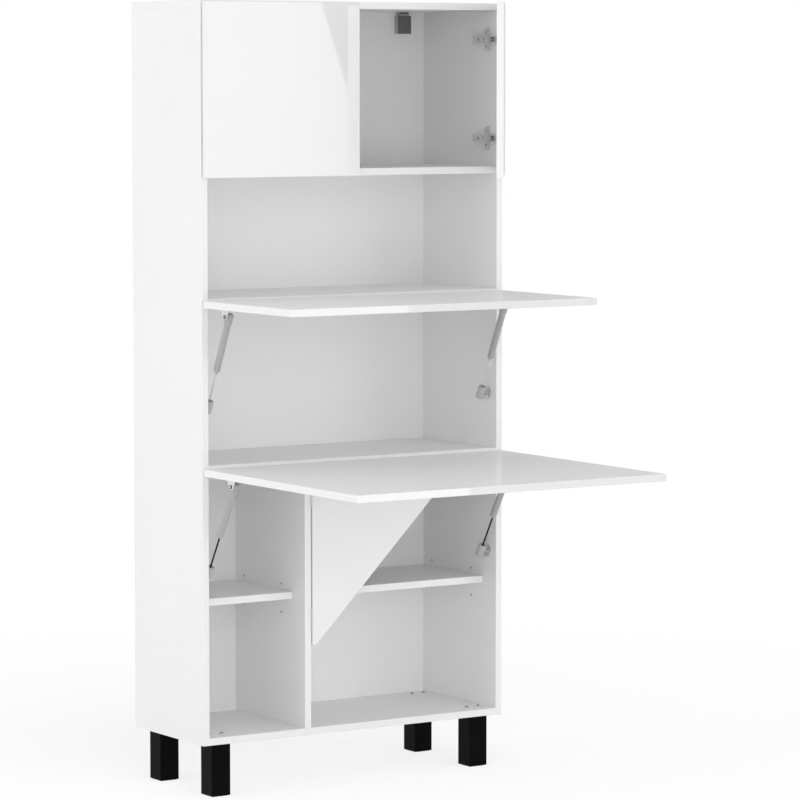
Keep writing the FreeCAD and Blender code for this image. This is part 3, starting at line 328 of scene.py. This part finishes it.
finish = {
    "white_melamine": makeMelamine(),
    "white_gloss": makeGloss(),
    "white_hardboard": makeHardboard(),
    "black_wood": makeBlackBeech(),
    "beech": makeBeech(),
    "felt": makeFelt(),
}
for slotName, values in metals.items():
    finish[slotName] = makeMetal(values)
for slotName, values in greys.items():
    finish[slotName] = makeGrey(values)
# The chromed rods of the desk struts are painted black for their dark reflection, those of the upper struts
# stay bright
darkReflectionRods = ("desk_left_strut_rod", "desk_right_strut_rod")
for row in record["subparts"]:
    piece = nodes[row["node"]]
    piece.data.materials.clear()
    piece.data.materials.append(finish["rod_painted_dark_reflection" if row["node"] in darkReflectionRods else row["material_slot"]])
print("finishes:", len(finish))

# Small parts that are too fine for the frame. Places are in millimetres, with y from the front of the
# carcass. Turned rings start where the cross of a screw has its first corner.
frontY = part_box("left_side_panel")[0][1]
fromFront = Matrix.Translation((0, frontY, 0))
rounding = {"sharpFrom": math.radians(40), "ringStart": -math.pi / 12, "bevelSteps": 2, "bevelBulge": 0.7}


def framePoint(x, y, z):
    return Vector((x * mm, frontY + y * mm, z * mm))


def facing(point, outward, spin=0.0):
    # a place whose Z axis looks outward
    turn = Vector(outward).to_track_quat("Z", "Y").to_matrix().to_4x4()
    return Matrix.Translation(point) @ turn @ Matrix.Rotation(spin, 4, "Z")


def addPiece(name, build, body, finishes):
    mesh = bpy.data.meshes.new(name)
    build.to_mesh(mesh)
    build.free()
    mesh.set_sharp_from_angle(angle=rounding["sharpFrom"])
    for entry in finishes:
        mesh.materials.append(finish[entry])
    item = bpy.data.objects.new(name, mesh)
    bpy.context.scene.collection.objects.link(item)
    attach(item, body)


def addFace(build, corners, finishIndex=0):
    face = build.faces.new(corners)
    face.smooth = True
    face.material_index = finishIndex


def addLathe(build, place, profile, sides=32, finishIndex=0, close="ends"):
    # rings of the given radius and height, joined in order, then closed at both ends, into a hollow ring
    # or left open
    loops = []
    for radius, height in profile:
        loop = []
        for step in range(sides):
            angle = 2 * math.pi * step / sides + rounding["ringStart"]
            corner = Vector((radius * math.cos(angle), radius * math.sin(angle), height)) * mm
            loop.append(build.verts.new(place @ corner))
        loops.append(loop)
    if close == "ends":
        addFace(build, list(reversed(loops[0])), finishIndex)
        addFace(build, loops[-1], finishIndex)
    if close == "ring":
        loops.append(loops[0])
    for lower, upper in zip(loops, loops[1:]):
        for step in range(sides):
            after = (step + 1) % sides
            addFace(build, (lower[step], lower[after], upper[after], upper[step]), finishIndex)
    return loops


def addBlock(build, place, low, high, bevel):
    # a bevelled block between two corners in millimetres; returns its faces
    corners = bmesh.ops.create_cube(build, size=1)["verts"]
    for corner in corners:
        share = corner.co + Vector((0.5, 0.5, 0.5))
        spot = Vector([low[axis] + (high[axis] - low[axis]) * share[axis] for axis in range(3)])
        corner.co = place @ (spot * mm)
    edges = list({edge for corner in corners for edge in corner.link_edges})
    made = bmesh.ops.bevel(build, geom=edges, offset=bevel * mm, segments=rounding["bevelSteps"],
                           profile=rounding["bevelBulge"], affect="EDGES")
    faces = {face for corner in made["verts"] for face in corner.link_faces}
    for face in faces:
        face.smooth = True
    return faces


# Pan head screws with a cross recess: head diameter and height in millimetres, the crown and the cross as
# shares of them
screws = {
    "plate": (7.5, 1.8), "flange": (7.0, 1.4), "fixing": (10.0, 1.4), "adjusting": (5.5, 1.1),
    "post": (5.4, 1.5), "bracket": (6.5, 1.6),
    "crown": ((1, 0), (1, 0.35), (0.93, 0.75), (0.78, 1)), "rimSides": 24,
    "crossReach": 0.66, "crossHalf": 0.18, "crossDepth": 0.85, "crossTaper": 0.8,
    "firstSpin": 0.2, "spinStep": 0.7,
}


def addScrew(build, place, kind):
    p = screws
    diameter, height = p[kind]
    radius, sides = diameter / 2, p["rimSides"]
    crown = [(radius * out, height * up) for out, up in p["crown"]]
    loops = addLathe(build, place, crown, sides, close="open")
    rim = loops[-1]
    addFace(build, list(reversed(loops[0])))
    reach, half = p["crossReach"] * radius, p["crossHalf"] * radius
    low, taper = height * (1 - p["crossDepth"]), p["crossTaper"]
    quarter = [(reach, -half), (reach, half), (half, half)]
    mouth, floorLoop = [], []
    for turn in range(4):
        for x, y in quarter:
            for step in range(turn):
                x, y = -y, x
            mouth.append(build.verts.new(place @ (Vector((x, y, height)) * mm)))
            floorLoop.append(build.verts.new(place @ (Vector((x * taper, y * taper, low)) * mm)))
    # two sides of the rim for each corner of the cross
    for index in range(len(mouth)):
        after = (index + 1) % len(mouth)
        first, second, third = [rim[(2 * index + step) % sides] for step in range(3)]
        addFace(build, (first, second, mouth[index]))
        addFace(build, (second, third, mouth[after], mouth[index]))
        # the walls and floor of the cross take the second finish, painted shade
        addFace(build, (mouth[index], mouth[after], floorLoop[after], floorLoop[index]), 1)
    addFace(build, floorLoop, 1)


# Concealed hinges in millimetres, drawn with the pin along X, the back along Y and the screw faces down,
# then turned and placed. fromFace is how deep the pin lies behind the inner face of its door or leaf.
hingeForm = {
    "frontGap": 4.6, "ajar": 55, "doorRows": (1458, 1684), "leafX": 305,
    "door": {"x": 389.5, "y": -13.6, "fromFace": 9, "rise": 5.5, "cupBack": 11.5},
    "upper_leaf": {"y": -13.6, "z": 1101.5, "fromFace": 9, "rise": 5.5, "cupBack": 11.5},
    "desk_leaf": {"y": -11.1, "z": 728, "fromFace": 6.5, "rise": 0, "cupBack": 12},
    "wing": 2.5, "flange": 1.2, "neck": 5.3, "channel": 8.3,
    "plateScrew": (16, 37), "flangeScrewX": 24, "fixingY": 56, "adjustingY": 36,
}
hinges = []


def addHinge(p, front, pin, arm, cup):
    # faces are heights in the drawn hinge, plane is the front of the carcass behind the pin
    depth = p["fromFace"]
    hinges.append({
        "front": front, "arm": Matrix.Translation(pin) @ arm, "cup": Matrix.Translation(pin) @ cup,
        "plane": hingeForm["frontGap"] + depth, "wingFace": -p["rise"] - hingeForm["wing"],
        "flangeFace": -depth - hingeForm["flange"], "neckFace": -depth - hingeForm["neck"],
        "armFace": -depth - hingeForm["channel"], "cupBack": p["cupBack"]})


def placeHinges():
    quarterTurn = math.radians(90)
    shut = Matrix.Rotation(quarterTurn, 4, "X")
    ajar = Matrix.Rotation(math.radians(hingeForm["ajar"]), 4, "Z")
    for side, sign in (("left", -1), ("right", 1)):
        stand = Matrix.Rotation(sign * quarterTurn, 4, "Y")
        swung = ajar @ stand @ shut if side == "right" else stand @ shut
        p = hingeForm["door"]
        for height in hingeForm["doorRows"]:
            addHinge(p, f"{side}_door", framePoint(sign * p["x"], p["y"], height), stand, swung)
        for leaf in ("upper_leaf", "desk_leaf"):
            p = hingeForm[leaf]
            addHinge(p, leaf, framePoint(sign * hingeForm["leafX"], p["y"], p["z"]), Matrix(), Matrix())


placeHinges()

# Gas struts: pin under the leaf and post on the side panel, with the screws of post and bracket
struts = {
    "upper": {"pin": (-60.1, 1075.5), "post": (35, 869)},
    "desk": {"pin": (-84.1, 704.5), "post": (35, 501)},
    "plane": 365, "postFace": 382, "postScrewRing": 9, "postScrewTurns": (90, 210, 330),
    "footFace": 15, "footScrewX": 369, "footScrewStep": 12.5,
}


def makeScrews():
    builds = {}
    spin = screws["firstSpin"]

    def fit(body, place, point, outward, kind):
        nonlocal spin
        spin += screws["spinStep"]
        if body not in builds:
            builds[body] = bmesh.new()
        addScrew(builds[body], place @ facing(Vector(point) * mm, outward, spin), kind)

    down = (0, 0, -1)
    across, back = hingeForm["plateScrew"]
    for hinge in hinges:
        arm, cup, plane = hinge["arm"], hinge["cup"], hinge["plane"]
        for sign in (-1, 1):
            fit("carcass", arm, (sign * across, plane + back, hinge["wingFace"]), down, "plate")
            spot = (sign * hingeForm["flangeScrewX"], -hinge["cupBack"], hinge["flangeFace"])
            fit(hinge["front"], cup, spot, down, "flange")
        for kind in ("fixing", "adjusting"):
            fit("carcass", arm, (0, plane + hingeForm[kind + "Y"], hinge["armFace"]), down, kind)
    for level in ("upper", "desk"):
        pinY, pinZ = struts[level]["pin"]
        postY, postZ = struts[level]["post"]
        for sign in (-1, 1):
            for turn in struts["postScrewTurns"]:
                y = postY + struts["postScrewRing"] * math.cos(math.radians(turn))
                z = postZ + struts["postScrewRing"] * math.sin(math.radians(turn))
                fit("carcass", fromFront, (sign * struts["postFace"], y, z), (-sign, 0, 0), "post")
            for step in (-1, 1):
                y = pinY + step * struts["footScrewStep"]
                spot = (sign * struts["footScrewX"], y, pinZ + struts["footFace"])
                fit(f"{level}_leaf", fromFront, spot, down, "bracket")
    for body, build in builds.items():
        addPiece(f"{body}_screws", build, body, ["nickel_steel", "dark_steel_and_recess_shade"])


makeScrews()

# Two levers side by side at the mouth of each hinge, in a dull grey that paints the shade of the neck, and
# the pressed cap that carries the face of the arm up to them
lever = {"inner": 0.5, "outer": 5.2, "from": -1, "to": 9.5, "proud": 1.3, "bevel": 0.35}
armCap = {"half": 8, "from": 9, "to": 27, "proud": 0.25, "sunk": 0.4, "bevel": 0.7}


def makeLevers():
    p = lever
    build = bmesh.new()
    for hinge in hinges:
        plane, face = hinge["plane"], hinge["neckFace"]
        for low, high in ((-p["outer"], -p["inner"]), (p["inner"], p["outer"])):
            addBlock(build, hinge["arm"], (low, plane + p["from"], face - p["proud"]),
                     (high, plane + p["to"], face), p["bevel"])
    # the levers' dull grey is painted shade in the neck
    addPiece("hinge_levers", build, "carcass", ["lever"])


def makeArmCaps():
    p = armCap
    build = bmesh.new()
    for hinge in hinges:
        plane = hinge["plane"]
        addBlock(build, hinge["arm"], (-p["half"], plane + p["from"], hinge["armFace"] - p["proud"]),
                 (p["half"], plane + p["to"], hinge["neckFace"] + p["sunk"]), p["bevel"])
    addPiece("hinge_arm_caps", build, "carcass", ["nickel_steel"])


makeLevers()
makeArmCaps()

# Heads of the strut pins on the outer face of each bracket: a dark ring that paints the shade of the hole,
# round a bright rivet
pinHead = {
    "face": 377.3,
    "holeShadeRing": [(2.4, 0), (4.6, 0), (4.6, 0.7), (4.2, 1.0), (2.4, 1.0)],
    "rivet": [(2.4, 0), (2.4, 1.3), (1.9, 1.7), (1.2, 1.8)],
}


def makePinHeads():
    p = pinHead
    for level in ("upper", "desk"):
        build = bmesh.new()
        pinY, pinZ = struts[level]["pin"]
        for sign in (-1, 1):
            place = facing(framePoint(sign * p["face"], pinY, pinZ), (sign, 0, 0))
            addLathe(build, place, p["holeShadeRing"], finishIndex=1, close="ring")
            addLathe(build, place, p["rivet"])
        addPiece(f"{level}_pin_heads", build, f"{level}_leaf", ["nickel_steel", "dark_steel_and_recess_shade"])


makePinHeads()

# Mouth of each strut cylinder: a chromed bush round the rod, a rubber wiper and the bead that crimps it in
strutMouth = {
    "start": 134.5,
    "bush": [(2.1, 0), (4.2, 0), (4.2, 2.6), (3.7, 3.2), (2.1, 3.2)],
    "wiper": [(2.1, 3.2), (3.2, 3.2), (2.9, 4.4), (2.1, 4.8)],
    "bead": [(7.4, -13), (7.9, -12.4), (7.9, -11.6), (7.4, -11)],
}


def makeStrutMouths():
    p = strutMouth
    for level in ("upper", "desk"):
        pinY, pinZ = struts[level]["pin"]
        postY, postZ = struts[level]["post"]
        for side, sign in (("left", -1), ("right", 1)):
            pin = framePoint(sign * struts["plane"], pinY, pinZ)
            along = (framePoint(sign * struts["plane"], postY, postZ) - pin).normalized()
            place = facing(pin + along * p["start"] * mm, along)
            build = bmesh.new()
            for index, form in enumerate(("bush", "wiper", "bead")):
                addLathe(build, place, p[form], finishIndex=index, close="ring")
            addPiece(f"{level}_{side}_strut_mouth", build, f"{level}_{side}_strut_tube",
                     ["chrome_rod", "rubber", "grey_steel"])


makeStrutMouths()

# Wall anchors: a dark moulded cover on the front of each block and a dark strip over the lug at its top that
# paints the lug's shade, in millimetres
anchorCover = {
    "x": 320, "face": 291, "width": 36, "low": 1699, "high": 1741, "thick": 1.6, "rim": 1.4, "sunk": 0.5,
    "lugShadeWidth": 24, "lugShadeLow": 1744.6, "lugShadeHigh": 1748.2, "bevel": 0.6,
    "frontward": -0.99,      # normals that point further than this along Y look to the front
}


def makeAnchorCovers():
    p = anchorCover
    build = bmesh.new()
    for sign in (-1, 1):
        x, face = sign * p["x"], p["face"]
        cover = addBlock(build, fromFront, (x - p["width"] / 2, face - p["thick"], p["low"]),
                         (x + p["width"] / 2, face, p["high"]), p["bevel"])
        front = [side for side in cover if side.normal.y < p["frontward"]]
        bmesh.ops.inset_individual(build, faces=front, thickness=p["rim"] * mm, depth=-p["sunk"] * mm)
        # dark strip over the lug: painted shade
        addBlock(build, fromFront, (x - p["lugShadeWidth"] / 2, face - p["thick"], p["lugShadeLow"]),
                 (x + p["lugShadeWidth"] / 2, face, p["lugShadeHigh"]), p["bevel"])
    addPiece("anchor_covers", build, "carcass", ["anthracite_plastic"])


makeAnchorCovers()

# Pale caps over the heads of the leg bolts, on the floor of the bottom bays, with a dark plug in the middle
boltCap = {
    "legX": 346, "spread": 16, "rows": (40, 272), "floor": 136,
    "cap": [(6.2, 0), (6.2, 0.6), (5.4, 2.0), (4.4, 2.3), (1.6, 2.4)],
    "plug": [(2.1, 2.0), (2.1, 3.8), (1.7, 4.2), (0.8, 4.3)],
}


def makeBoltCaps():
    p = boltCap
    build = bmesh.new()
    for sign in (-1, 1):
        for step in (-1, 1):
            for y in p["rows"]:
                place = facing(framePoint(sign * p["legX"] + step * p["spread"], y, p["floor"]), (0, 0, 1))
                addLathe(build, place, p["cap"])
                addLathe(build, place, p["plug"], finishIndex=1)
    addPiece("bolt_caps", build, "carcass", ["pale_plastic", "dark_steel_and_recess_shade"])


makeBoltCaps()

# Painted shade in the shelf pin holes that stand empty: dark sleeves set into them, with the face of each
# wall and its outward way
pinHoleShade = {
    "walls": ((-384, 1), (-135.5, -1), (-119.5, 1), (384, -1)),
    "rows": (103, 269), "heights": (389.5, 453.5), "sides": 24,
    "profile": [(2.5, -7), (2.5, -0.2), (2.0, -0.2), (2.0, -3), (0.5, -3.2)],
}


def makePinHoleShade():
    p = pinHoleShade
    build = bmesh.new()
    for x, outward in p["walls"]:
        for y in p["rows"]:
            for z in p["heights"]:
                addLathe(build, facing(framePoint(x, y, z), (outward, 0, 0)), p["profile"], p["sides"])
    addPiece("pin_hole_shade", build, "carcass", ["anthracite_plastic"])


makePinHoleShade()
print("small parts ready")

# Camera at the photograph's angle, fitted to the corners of the boards, with the picture taken as square
camera = {
    "place": (-4.6283, -7.1490, 1.6055), "turn": 32.992, "down": 4.843,
    "focal": 3850.1, "pictureSide": 800, "sensor": 36, "sight": 200,
}


def makeCamera():
    p = camera
    data = bpy.data.cameras.new("camera")
    data.sensor_width = p["sensor"]
    data.lens = p["focal"] / p["pictureSide"] * p["sensor"]
    data.clip_end = p["sight"]
    item = bpy.data.objects.new("camera", data)
    bpy.context.scene.collection.objects.link(item)
    turn, down = math.radians(p["turn"]), math.radians(p["down"])
    look = Vector((math.sin(turn) * math.cos(down), math.cos(turn) * math.cos(down), -math.sin(down)))
    item.location = p["place"]
    item.rotation_mode = "QUATERNION"
    item.rotation_quaternion = look.to_track_quat("-Z", "Y")
    bpy.context.scene.camera = item


makeCamera()

# Studio: soft boxes on the left and round the front, and an even dome. Mirrors see the white round the
# object and not the lamps.
softBoxes = {
    "left": {"place": (-4.2, 0.9, 1.5), "aim": (-0.4, 0.3, 0.95), "width": 3.0, "height": 3.0, "power": 36},
    "front": {"place": (-3.0, -5.0, 2.0), "aim": (0, 0.3, 0.95), "width": 2.6, "height": 2.6, "power": 32},
    "right": {"place": (3.4, -4.6, 1.6), "aim": (0, 0.3, 0.95), "width": 2.6, "height": 2.6, "power": 40},
    "low": {"place": (-0.8, -4.5, 0.7), "aim": (0, 0.3, 0.5), "width": 2.4, "height": 1.2, "power": 26},
}
dome = {"colour": "FFFFFF", "level": 0.86, "seen": 1.0}


def makeLight(name, p):
    data = bpy.data.lights.new(name + "_soft_box", "AREA")
    data.shape = "RECTANGLE"
    data.size, data.size_y = p["width"], p["height"]
    data.energy = p["power"]
    item = bpy.data.objects.new(name + "_soft_box", data)
    bpy.context.scene.collection.objects.link(item)
    item.location = p["place"]
    item.rotation_mode = "QUATERNION"
    item.rotation_quaternion = (Vector(p["aim"]) - Vector(p["place"])).to_track_quat("-Z", "Y")
    item.visible_camera = False
    item.visible_glossy = False


for lightName, values in softBoxes.items():
    makeLight(lightName, values)


def seenRays(tree):
    # 1 for what the camera, a mirror or glass sees, 0 for the light that falls on things
    path = addNode(tree, "ShaderNodeLightPath").outputs
    seen = addNode(tree, "ShaderNodeMath", {
        0: path["Is Camera Ray"], 1: path["Is Glossy Ray"]}, operation="MAXIMUM")
    seen = addNode(tree, "ShaderNodeMath", {
        0: seen.outputs[0], 1: path["Is Transmission Ray"]}, operation="MAXIMUM")
    return seen.outputs[0]


def makeDome():
    world = bpy.data.worlds.new("dome")
    world.use_nodes = True
    tree = world.node_tree
    tree.nodes.clear()
    output = addNode(tree, "ShaderNodeOutputWorld")
    level = addBand(tree, seenRays(tree), dome["level"], dome["seen"])
    sky = addNode(tree, "ShaderNodeBackground", {"Color": hexColour(dome["colour"]), "Strength": level})
    tree.links.new(sky.outputs[0], output.inputs["Surface"])
    bpy.context.scene.world = world


makeDome()


def addSheet(name, corners, material):
    # one flat face
    mesh = bpy.data.meshes.new(name)
    mesh.from_pydata(corners, [], [tuple(range(len(corners)))])
    mesh.materials.append(material)
    item = bpy.data.objects.new(name, mesh)
    bpy.context.scene.collection.objects.link(item)
    return item


# Pale floor that melts into the white round it and keeps the shadow near the legs
floor = {
    "side": 60, "colour": "F4F4F4", "rough": 0.9,
    "lit": 0.72, "white": 1.0, "fadeStart": 0.8, "fadeEnd": 3.0,
    "fibreMm": 40, "fibreDetail": 3, "fibreStrength": 0.05, "fibreDepthMm": 0.2,
    "sunkMm": 0.2,           # keeps it just clear of the glides
}


def makeFloor():
    p = floor
    material, tree, output, place = startMaterial("studio_paper")
    fibre = addNoise(tree, place, p["fibreMm"], p["fibreDetail"])
    paper = addNode(tree, "ShaderNodeBsdfDiffuse", {
        "Color": hexColour(p["colour"]), "Roughness": p["rough"],
        "Normal": addRelief(tree, fibre, p["fibreStrength"], p["fibreDepthMm"] * mm)})
    white = addNode(tree, "ShaderNodeEmission", {"Strength": p["white"]})
    reach = addNode(tree, "ShaderNodeVectorMath", {0: place}, operation="LENGTH")
    fade = addNode(tree, "ShaderNodeMapRange", {
        "Value": reach.outputs["Value"], "From Min": p["fadeStart"], "From Max": p["fadeEnd"],
        "To Min": p["lit"], "To Max": 1.0}, interpolation_type="SMOOTHSTEP")
    share = addNode(tree, "ShaderNodeMath", {
        0: fade.outputs["Result"], 1: seenRays(tree)}, operation="MULTIPLY")
    finishMaterial(tree, output, addNode(tree, "ShaderNodeMixShader", {
        0: share.outputs[0], 1: paper.outputs[0], 2: white.outputs[0]}))
    half = p["side"] / 2
    corners = [(-half, -half, 0), (half, -half, 0), (half, half, 0), (-half, half, 0)]
    item = addSheet("floor", corners, material)
    item.location.z = -p["sunkMm"] * mm


makeFloor()

# Flags of black and grey cloth beside the set and behind it, which only mirrors see. The gloss fronts show
# the slanting edge of the black one.
flags = {
    "napMm": 3, "napDetail": 2, "napStrength": 0.3, "napDepthMm": 0.5,
    "right": {
        "cloth": "molton_woven_black", "colour": "2E2E2E", "y": -3.0,
        "outline": [(1.778, 2.02), (1.848, 1.832), (1.929, 1.605), (1.99, 1.44), (2.02, 1.25),
                    (1.70, 0.93), (1.735, 0.86), (1.57, 0.45), (1.60, 0.36), (1.75, 0.0),
                    (4.5, 0.0), (4.5, 2.6), (1.6, 2.6)]},
    "behind": {
        "cloth": "molton_woven_grey", "colour": "BEBEBE", "y": 2.2,
        "outline": [(0.7, 0.0), (4.5, 0.0), (4.5, 2.6), (0.7, 2.6)]},
}


def makeFlag(name):
    p = flags
    flag = p[name]
    material, tree, output, place = startMaterial(flag["cloth"])
    nap = addNoise(tree, place, p["napMm"], p["napDetail"])
    finishMaterial(tree, output, addNode(tree, "ShaderNodeBsdfDiffuse", {
        "Color": hexColour(flag["colour"]),
        "Normal": addRelief(tree, nap, p["napStrength"], p["napDepthMm"] * mm)}))
    item = addSheet(name + "_flag", [(x, flag["y"], z) for x, z in flag["outline"]], material)
    for ray in ("camera", "diffuse", "transmission", "volume_scatter", "shadow"):
        setattr(item, "visible_" + ray, False)


for flagName in ("right", "behind"):
    makeFlag(flagName)

# light passes to and fro between the white boards of a bay many times
lightBounces = 10
bpy.context.scene.cycles.diffuse_bounces = lightBounces
bpy.context.scene.view_settings.view_transform = "Standard"
print("studio ready")
